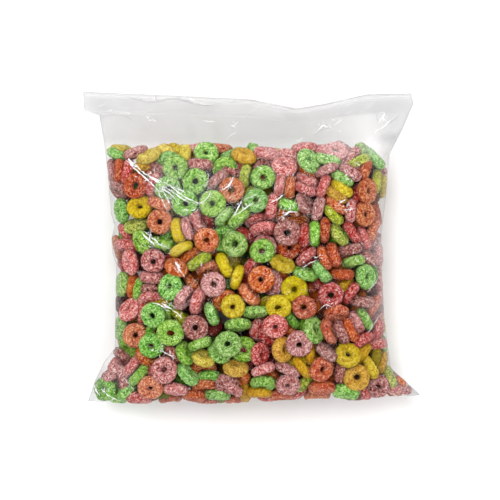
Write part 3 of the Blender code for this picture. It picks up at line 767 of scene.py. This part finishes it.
def film_material():
    """Clear film: what is behind it shows, with a thin haze, a grey tint where it lies loose, and gloss; the
    same haze and tint also carry painted highlights, painted dark reflections and painted shade.
    """
    material, tree = nodes_of("clear_film")
    marks = add(tree, "Attribute", attribute_name="marks").outputs["Color"]
    # Red is the haze share, also the painted highlights on the folds; green is the grey tint, also the
    # painted dark reflections on the folds and the painted shade across the headspace.
    haze_and_highlights, grey, _ = add(tree, "SeparateColor", marks).outputs
    clear = add(tree, "BsdfTransparent", mix_colour(tree, grey, FILM_CLEAR, FILM_TINT))
    gloss = add(tree, "BsdfGlossy", Color=(1, 1, 1, 1), Roughness=0.05)
    haze = add(tree, "BsdfDiffuse", Color=(0.82, 0.82, 0.82, 1))
    veil = add(tree, "MixShader", haze_and_highlights, clear.outputs[0], haze.outputs[0])
    # The same Fresnel gloss on both sides of the film.
    facing = add(tree, "LayerWeight", Blend=0.5).outputs["Facing"]
    share = maths(tree, "MULTIPLY_ADD", maths(tree, "POWER", facing, 5.0), 0.28, 0.006)
    top = add(tree, "MixShader", share, veil.outputs[0], gloss.outputs[0])
    add(tree, "OutputMaterial", top.outputs[0])
    return material


# Folds in the film, with painted reflections on them: half width in millimetres at the middle,
# how white the painted highlight is, or how dark the painted dark reflection where it is negative,
# and points in pixels of the photograph.
CREASES = [
    (1.22, 0.95, (129, 159), (131, 163), (134, 166), (138, 168)),
    (0.56, 0.95, (130, 161), (136, 165), (140, 169)),
    (0.56, 0.98, (127, 160), (131, 165), (137, 171), (144, 176), (151, 183), (157, 188), (161, 193)),
    (0.39, 0.9, (157, 188), (161, 196), (165, 205), (169, 212)),
    (0.3, 0.9, (162, 190), (168, 198), (172, 207)),
    (0.66, 0.98, (138, 168), (145, 174), (152, 178), (158, 181), (164, 183)),
    (0.5, 0.98, (164, 183), (171, 186), (178, 192), (184, 197), (191, 200), (200, 204), (204, 203)),
    (0.44, 0.95, (162, 187), (170, 190), (177, 195), (184, 200), (192, 204)),
    (0.5, 0.95, (200, 204), (205, 202), (209, 197), (211, 192)),
    (0.77, 0.9, (152, 177), (156, 181), (161, 184)),
    (0.39, 0.9, (160, 192), (165, 190), (172, 195), (177, 200)),
    (0.39, 0.9, (173, 187), (180, 190), (186, 194)),
    (0.56, 0.95, (222, 191), (228, 188), (231, 183), (235, 176)),
    (0.3, 0.8, (208, 172), (209, 180), (207, 186)),
    (0.5, 0.9, (234, 216), (238, 209), (241, 203), (243, 198)),
    (0.56, 0.95, (234, 216), (241, 212), (248, 207), (252, 204)),
    (0.3, 0.85, (244, 200), (252, 197), (259, 194)),
    (0.5, 0.95, (270, 203), (277, 200), (284, 195)),
    (0.3, 0.8, (257, 166), (263, 171)),
    (0.4, 0.8, (276, 222), (281, 217), (287, 213), (293, 212), (298, 214)),
    (0.56, 0.9, (284, 216), (288, 213), (291, 211)),
    (0.56, 0.9, (142, 232), (146, 236), (150, 241), (155, 244)),
    (0.44, 0.9, (145, 231), (152, 237), (158, 242), (163, 247)),
    (0.66, 0.9, (148, 237), (152, 241), (156, 246)),
    (0.3, 0.85, (157, 244), (165, 246), (173, 250)),
    (0.56, 0.95, (154, 302), (160, 303), (166, 307), (171, 307)),
    (0.44, 0.95, (168, 305), (174, 309), (179, 314), (184, 318)),
    (0.3, 0.8, (163, 301), (170, 303), (177, 308)),
    (0.44, 0.9, (160, 349), (165, 351), (171, 354), (176, 355)),
    (0.39, 0.9, (176, 266), (181, 270), (186, 277)),
    (0.56, 0.9, (178, 267), (181, 271)),
    (0.39, 0.9, (336, 207), (340, 202), (345, 201)),
    (0.3, 0.85, (340, 210), (347, 210), (355, 209)),
    (0.35, 0.8, (301, 268), (306, 265), (311, 262), (316, 260)),
    (0.35, 0.8, (313, 258), (318, 256), (323, 255)),
    (0.39, 0.85, (321, 307), (326, 303), (331, 307)),
    (0.56, 0.95, (93, 385), (96, 391), (100, 396)),
    (0.5, 0.95, (101, 389), (108, 395), (115, 399), (124, 402)),
    (0.3, 0.6, (123, 375), (129, 382), (135, 390)),
    (0.7, 0.35, (366, 292), (374, 284), (378, 277)),
    (0.6, 0.35, (359, 254), (367, 259), (373, 263), (378, 268)),
    (0.6, 0.4, (367, 332), (374, 323), (381, 313)),
    (0.3, 0.7, (355, 163), (359, 167)),
    (0.3, 0.7, (350, 175), (355, 179)),
    (0.44, 0.9, (379, 113), (384, 111), (386, 114), (381, 119), (379, 122)),
    (0.44, 0.9, (386, 111), (383, 116), (385, 119), (381, 123)),
    (0.39, 0.85, (314, 133), (318, 130), (322, 127)),
    (0.5, 0.95, (320, 128), (324, 124), (326, 128), (330, 124)),
    (0.3, 0.9, (334, 125), (338, 122), (342, 119)),
    (0.4, 0.8, (96, 106), (101, 104), (106, 102)),
    (0.44, 0.9, (104, 110), (108, 111), (113, 108)),
    (0.35, 0.7, (116, 109), (114, 115), (112, 122)),
    (0.45, 0.8, (120, 92), (128, 95), (136, 98)),
    (0.4, 0.7, (120, 109), (127, 112), (133, 115)),
    (0.35, 0.7, (138, 109), (144, 113), (150, 120)),
    (0.56, 0.95, (148, 120), (152, 119), (156, 121)),
    (0.56, 0.95, (153, 96), (155, 99), (154, 102)),
    (0.4, 0.8, (156, 97), (163, 96), (170, 97), (176, 95)),
    (0.5, 0.8, (178, 97), (190, 97), (197, 102), (206, 104), (220, 102)),
    (0.35, 0.7, (202, 120), (208, 121), (215, 121)),
    (0.3, 0.6, (233, 128), (235, 124), (238, 122)),
    (0.3, 0.6, (226, 140), (231, 135), (237, 132)),
    (0.35, 0.7, (259, 101), (268, 103), (278, 106), (290, 109)),
    (0.3, 0.6, (240, 118), (252, 112), (264, 105)),
    (0.5, 0.6, (388, 392), (398, 397), (408, 399)),
    (1.07, 0.9, (176, 262), (178, 265), (181, 268)),
    (0.74, 0.9, (163, 303), (168, 306), (172, 308)),
    (0.74, 0.9, (228, 188), (230, 185), (232, 181)),
    (0.5, -0.9, (226, 195), (230, 191), (234, 186)),
    (0.5, -0.9, (231, 210), (234, 206), (236, 202)),
    (0.4, -0.8, (203, 208), (207, 205), (211, 200)),
    (0.4, -0.8, (147, 180), (153, 184), (158, 187)),
    (0.4, -0.8, (270, 207), (276, 204), (283, 199)),
    (0.4, -0.7, (172, 311), (177, 316), (181, 320)),
    (0.8, -0.3, (118, 92), (134, 98), (150, 102), (158, 100), (176, 97), (190, 102), (204, 105), (222, 103)),
    (0.5, -0.35, (154, 94), (156, 98), (154, 102)),
    (0.5, -0.25, (222, 103), (244, 99), (262, 101), (284, 106)),
    (0.45, -0.25, (379, 113), (377, 117), (379, 121)),
    (0.5, -0.2, (312, 134), (318, 131), (324, 130), (330, 127)),
    (0.5, -0.2, (96, 118), (112, 113), (126, 115), (134, 121)),
    (0.5, -0.2, (383, 126), (394, 120), (404, 111)),
    (0.6, 0.5, (372, 134), (386, 125), (398, 113)),
]
# Where the film is crumpled into small glints, painted as short white strokes: (across, height, reach,
# count) in pixels.
CRUMPLED = [
    (134, 165, 6, 14), (147, 177, 8, 12), (157, 183, 7, 12), (166, 189, 9, 22), (180, 194, 9, 14),
    (196, 203, 8, 8), (170, 206, 6, 6), (183, 212, 6, 5), (208, 188, 6, 5), (230, 185, 7, 6),
    (239, 207, 7, 8), (252, 205, 6, 6), (283, 214, 7, 12), (293, 210, 7, 8), (298, 204, 6, 4),
    (341, 203, 5, 6), (349, 209, 6, 7), (152, 240, 9, 18), (165, 247, 7, 6), (179, 269, 5, 6),
    (167, 306, 9, 12), (179, 313, 6, 6), (163, 351, 7, 10), (173, 355, 5, 5), (96, 389, 6, 7),
    (108, 395, 8, 8), (308, 264, 8, 5), (318, 258, 7, 4), (328, 305, 6, 6),
    (348, 176, 7, 5), (357, 165, 6, 4), (369, 147, 7, 6), (326, 127, 8, 8),
    (383, 116, 6, 8), (299, 143, 3, 3), (393, 121, 7, 3), (153, 98, 5, 5), (107, 109, 6, 4),
    (150, 121, 6, 5), (234, 126, 5, 4), (126, 111, 8, 4), (176, 98, 8, 4), (290, 178, 12, 4),
    (232, 198, 10, 4), (199, 275, 12, 3), (350, 255, 14, 4), (341, 292, 5, 3),
]
# Where the film is slack and veils the rings: (across, height, reach) in pixels and how much.
HAZE_PATCHES = [
    (338, 150, 15, 0.20), (372, 146, 11, 0.30), (281, 160, 13, 0.12), (166, 186, 20, 0.08),
    (206, 194, 20, 0.07), (378, 250, 14, 0.12), (376, 310, 13, 0.10), (112, 250, 10, 0.10),
    (124, 376, 12, 0.08), (398, 384, 10, 0.10), (408, 392, 9, 0.05),
]
# Waves all over the film: the height, the length and how many.
FILM_WAVES = ((0.22 * MM, 14 * MM, 14), (0.06 * MM, 4.5 * MM, 18))
# The height of the waves in the slack part, of the seal at the top and of the line below the strip.
SLACK_WAVE = 1.0 * MM
SEAL_RISE = 0.35 * MM
LINE_RISE = 0.4 * MM
# How high a crease stands off the film, beside its own width.
FOLD_RISE = 0.25 * MM
FOLD_SHARE = 0.55
FOLD_COLUMNS = 7
# The rows where the slack part ends, the top seal's distance from the edge, and half a seal's width.
SLACK_ROWS_PX = (132, 160)
SEAL_DOWN_PX = 3.2
SEAL_HALF_PX = 0.9
# How white the haze is on each part of the film.
HAZES = {"headspace": 0.05, "strip": 0.06, "seal": 0.20, "line": 0.10, "sides": 0.08, "corner": 0.04}


def waves(x, y, rng, length, count):
    """A smooth random field of about this wavelength, between about -1 and 1."""
    field = np.zeros_like(x)
    for _ in range(count):
        turn, phase = rng.uniform(0, 2 * math.pi, 2)
        k = 2 * math.pi / (length * rng.uniform(0.7, 1.5))
        field += np.cos(k * (x * math.cos(turn) + y * math.sin(turn)) + phase)
    return field / math.sqrt(count)


def even_line(points, step):
    """Places along a line of points, this far apart and smoothed at the corners."""
    points = np.array(points, float)
    for _ in range(2):
        quarter = points[:-1] * 0.75 + points[1:] * 0.25
        three = points[:-1] * 0.25 + points[1:] * 0.75
        inner = np.stack([quarter, three], 1).reshape(-1, 2)
        points = np.concatenate([points[:1], inner[1:-1], points[-1:]])
    far = np.concatenate([[0], np.cumsum(np.hypot(*np.diff(points, axis=0).T))])
    at = np.linspace(0, far[-1], max(int(far[-1] / step), 4) + 1)
    return np.stack([np.interp(at, far, points[:, k]) for k in (0, 1)], -1)


def small_glints(rng):
    """Short strokes of painted highlight strewn where the film is crumpled, in the form of CREASES."""
    strokes = []
    for across, down, reach, count in CRUMPLED:
        for _ in range(count):
            middle = np.array([across, down]) + rng.normal(size=2) * reach / 2
            turn = rng.uniform(0, math.pi)
            half_length = rng.uniform(0.6, 2.2)
            ahead = np.array([math.cos(turn), -math.sin(turn)])
            bend = np.array([ahead[1], -ahead[0]]) * rng.uniform(-0.5, 0.5) * half_length
            line = [middle - ahead * half_length, middle + bend, middle + ahead * half_length]
            strokes.append((rng.uniform(0.2, 0.45), rng.uniform(0.6, 0.95), *line))
    return strokes


def uneven_line(t, rng, low, high, knots):
    """Random values along a line, straight between this many knots."""
    return np.interp(t, np.linspace(0, 1, knots), rng.uniform(low, high, knots))


def folds_with_painted_glints(space):
    """Sharp folds standing on the front film, as narrow tapering ridges with painted highlights and painted
    dark reflections.
    """
    rng = np.random.default_rng(SEED + 40)
    across = np.linspace(-1, 1, FOLD_COLUMNS)
    all_points, all_faces, all_marks, start = [], [], [], 0
    for half, white, *line in CREASES + small_glints(rng):
        middle = even_line(line, 0.5)
        count = len(middle)
        ahead = np.gradient(middle, axis=0)
        ahead /= np.linalg.norm(ahead, axis=1, keepdims=True)
        side = np.stack([-ahead[:, 1], ahead[:, 0]], -1)
        t = np.linspace(0, 1, count)
        uneven = uneven_line(t, rng, 0.35, 1.25, 2 + count // 3)
        width = half * MM / PIXEL * np.sin(math.pi * np.clip(t, 0.03, 0.97)) ** 0.6 * uneven
        shift = uneven_line(t, rng, -0.5, 0.5, 2 + count // 4)
        reach = across[None, :, None] * width[:, None, None] + shift[:, None, None]
        at = middle[:, None] + side[:, None] * reach
        x, y = metres_x(at[..., 0]), metres_y(at[..., 1])
        height, _ = space.surface(0, x.ravel(), y.ravel())
        ridge = (1 - np.abs(across)) ** 0.8
        z = height.reshape(x.shape) + FOLD_RISE + FOLD_SHARE * (width * PIXEL)[:, None] * ridge
        # Painted highlight: white haze along the ridge; where the value is negative, a painted dark
        # reflection as grey tint.
        bright = white * (1 - across ** 4)[None] * (0.5 + 0.5 * np.clip(uneven, 0, 1))[:, None]
        all_points.append(np.stack([x, y, z], -1).reshape(-1, 3))
        all_faces.append(grid_faces(count, len(across)) + start)
        all_marks.append(bright.ravel())
        start += count * len(across)
    marks = np.concatenate(all_marks)
    marks = np.stack([np.maximum(marks, 0), np.maximum(-marks, 0), 0 * marks], -1)
    return mesh_object("film_folds_painted_glints", np.concatenate(all_points), np.concatenate(all_faces), "marks", marks)


def film_sheet(name, face, columns, rows):
    """The front (0) or back (1) sheet of film, with its waves, seal lines, haze and grey tint, with painted
    shade in the tint and a painted sheen in the haze at the sides.
    """
    rng = np.random.default_rng(SEED + 20 + face)
    t = np.linspace(0, 1, columns)
    share = 0.45 * t + 0.55 * (0.5 - 0.5 * np.cos(math.pi * t))
    ends = np.linspace(0, 1, rows)
    row = BOTTOM_ROW_PX + (TOP_ROW_PX - BOTTOM_ROW_PX) * (0.8 * ends + 0.2 * ends ** 0.5)
    share, row = np.meshgrid(share, row)
    left, right = edges_at(row)
    x = left + (right - left) * share
    y_px = bend_to_edges(x, row)
    y = metres_y(y_px)
    z = film_heights(x, row)[face]
    edge = np.minimum(share, 1 - share) * 2
    inner = smooth(0, 0.12, edge) * smooth(0, 10, BOTTOM_ROW_PX - row)
    px = pixel_x(x)
    lift = sum(high * waves(x, y, rng, length, count) for high, length, count in FILM_WAVES)
    folds = waves(x + 0.35 * y, 0.25 * y, rng, 17 * MM, 8)
    loose = smooth(STRIP_LINE_PX - 2, STRIP_LINE_PX + 10, row) * (1 - smooth(*SLACK_ROWS_PX, row))
    if face == 0:
        z = z + (lift + SLACK_WAVE * folds * loose) * inner
    from_top = y_px - along(TOP_EDGE, px)
    from_side = np.minimum(x - left, right - x) / PIXEL
    seal = np.exp(-(((from_top - SEAL_DOWN_PX) / SEAL_HALF_PX) ** 2))
    line = np.exp(-(((row - STRIP_LINE_PX + 0.5) / SEAL_HALF_PX) ** 2)) * (1 - smooth(330, 380, px))
    rim = np.exp(-((np.minimum(from_top, from_side) / SEAL_HALF_PX) ** 2))
    z = z + (SEAL_RISE * seal + LINE_RISE * line) * (1 if face == 0 else -1)
    strip = 1 - smooth(STRIP_LINE_PX - 1.5, STRIP_LINE_PX + 1.5, row)
    sides = (1 - smooth(0.0, 9.0, from_side)) * (1 - strip)
    headspace = (1 - smooth(FILL_LINE_PX - 12, FILL_LINE_PX, row)) * (1 - strip)
    corner = smooth(CORNER_FROM_PX + 12, CORNER_FROM_PX + 34, row) * (1 - smooth(4.0, 22.0, from_side))
    clouds = 0.5 + 0.5 * np.clip(waves(x, y, rng, 38 * MM, 10), -1, 1)
    streaks = np.clip(folds, 0, 1.5) * loose
    parts = {
        "headspace": headspace, "strip": strip, "seal": seal, "line": line, "sides": sides, "corner": corner,
    }
    # The haze at the sides, and the extra haze near the right edge, is partly the film's own haze and partly
    # a painted sheen where the steep film catches light.
    haze = sum(much * parts[part] for part, much in HAZES.items())
    haze += 0.05 * streaks * clouds + 0.05 * smooth(364, 380, px) * (row < 340)
    for across, down, wide, much in HAZE_PATCHES if face == 0 else []:
        far = np.hypot(px - across, y_px - down) / wide
        haze += much * (0.6 + 0.4 * clouds) * np.exp(-(far ** 2))
    # The grey tint is the film's own, but its uneven strength over the headspace is painted light and shade:
    # weaker towards the right, stronger at the right edge and in a spot at its upper right.
    tint = (0.17 - 0.10 * smooth(280, 370, px) + 0.18 * smooth(366, 396, px)) * headspace
    tint += (0.25 + 0.06 * smooth(330, 400, px)) * strip
    tint += 0.25 * rim + 0.10 * sides + 0.24 * corner
    tint += 0.12 * corner * (px > MIDDLE_X_PX)
    tint += 0.2 * smooth(374, 386, px) * smooth(128, 138, row) * (1 - smooth(150, 170, row))
    points = np.stack([x, y, z], -1).reshape(-1, 3)
    faces = grid_faces(rows, columns)
    if face:
        faces = faces[:, ::-1]
    marks = np.stack([np.clip(haze, 0, 0.9), np.clip(tint, 0, 1), 0 * tint], -1)
    return mesh_object(name, points, faces, "marks", marks.reshape(-1, 3))


def area_light(name, place, size, power):
    data = bpy.data.lights.new(name, "AREA")
    data.shape = "RECTANGLE"
    data.size = size
    data.size_y = size
    data.energy = power
    obj = new_object(name, data)
    obj.location = place
    obj.rotation_euler = (Vector(LIT_SPOT) - Vector(place)).to_track_quat("-Z", "Y").to_euler()


def studio():
    """A pale floor, soft light and a camera that looks straight down on the bag."""
    mesh = bpy.data.meshes.new("floor")
    far, low = FLOOR_REACH, -FILM_FLOOR
    corners = [(-far, -far, low), (far, -far, low), (far, far, low), (-far, far, low)]
    mesh.from_pydata(corners, [], [(0, 1, 2, 3)])
    floor = new_object("floor", mesh)
    material, tree = nodes_of("pale_floor")
    shader = add(tree, "BsdfPrincipled", (0.9, 0.9, 0.9, 1), Roughness=0.9)
    shader.inputs["Specular IOR Level"].default_value = 0.1
    add(tree, "OutputMaterial", shader.outputs[0])
    mesh.materials.append(material)

    world = bpy.data.worlds.new("studio")
    bpy.context.scene.world = world
    world.use_nodes = True
    tree = world.node_tree
    place = add(tree, "TexCoord").outputs["Generated"]
    _, away, up = add(tree, "SeparateXYZ", place).outputs
    # Bright near the horizon, more so behind the top of the bag than in front of its bottom.
    by_height = remap(tree, up, 0.2, 0.9, 1.32, 0.3)
    level = maths(tree, "MULTIPLY", by_height, remap(tree, away, -0.7, 0.3, 0.85, 1.15))
    back = tree.nodes["Background"]
    feed(tree, back.inputs["Strength"], level)
    feed(tree, back.inputs["Color"], (1, 1, 1, 1))

    area_light("key", (-0.35, 0.4, 1.5), 0.9, 18.5)
    area_light("fill", (0.7, -0.6, 1.4), 1.1, 10)

    camera = new_object("camera", bpy.data.cameras.new("camera"))
    middle = FRAME_PX / 2
    camera.location = (float(metres_x(middle)), float(metres_y(middle)), CAMERA_HEIGHT)
    camera.data.sensor_width = SENSOR
    camera.data.lens = SENSOR * (CAMERA_HEIGHT - SHARP_HEIGHT) / (FRAME_PX * PIXEL)
    bpy.context.scene.camera = camera


def main():
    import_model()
    space = Container()
    centres, turns, names, odd, held = settle(space)
    front, _ = space.surface(0, centres[:, 0], centres[:, 1])
    back, _ = space.surface(1, centres[:, 0], centres[:, 1])
    depth = front - centres[:, 2]
    wall = np.minimum(depth, centres[:, 2] - back)
    # Little light gets to the rings deep inside, more to the held ones, which show at the front.
    dim = smooth(SHADE_FROM, SHADE_TO, wall) * np.where(held, HELD_SHARE, 1.0)
    # Those at the top are the brightest, since the empty part above them lets light in.
    top = 1 - smooth(*TOP_ROWS_PX, pixel_y(centres[:, 1]))
    dim = dim * (1 - top) - TOP_LIGHT * top
    detail = np.where(depth < FRONT_NEAR, 1, np.where(wall < WALL_NEAR, 2, 3))
    detail[held & (depth < HELD_NEAR)] = 0
    rng = np.random.default_rng(SEED + 1)
    for name in COLOURS:
        points, faces, tones_and_shading, start = [], [], [], 0
        for level, (around, section) in enumerate(RING_DETAIL):
            chosen = (names == name) & (detail == level)
            if not chosen.any():
                continue
            p, f, t = ring_meshes(
                space, centres[chosen], turns[chosen], odd[chosen], dim[chosen], around, section, rng
            )
            points.append(p)
            faces.append(f + start)
            tones_and_shading.append(t)
            start += len(p)
        points, faces, tones_and_shading = (np.concatenate(parts) for parts in (points, faces, tones_and_shading))
        rings = mesh_object(f"rings_{name}", points, faces, "tones_and_shading", tones_and_shading)
        rings.data.materials.append(cereal_material(name))
        print(rings.name, "triangles", 2 * len(rings.data.polygons))
        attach(rings, "root")
        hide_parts("bag")
    film = film_material()
    sheets = [
        film_sheet("film_front", 0, 320, 300),
        film_sheet("film_back", 1, 170, 150),
        folds_with_painted_glints(space),
    ]
    for sheet in sheets:
        sheet.data.materials.append(film)
        print(sheet.name, "triangles", 2 * len(sheet.data.polygons))
        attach(sheet, "root")
        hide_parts("bag")
    studio()
    scene = bpy.context.scene
    scene.view_settings.view_transform = "Standard"


main()
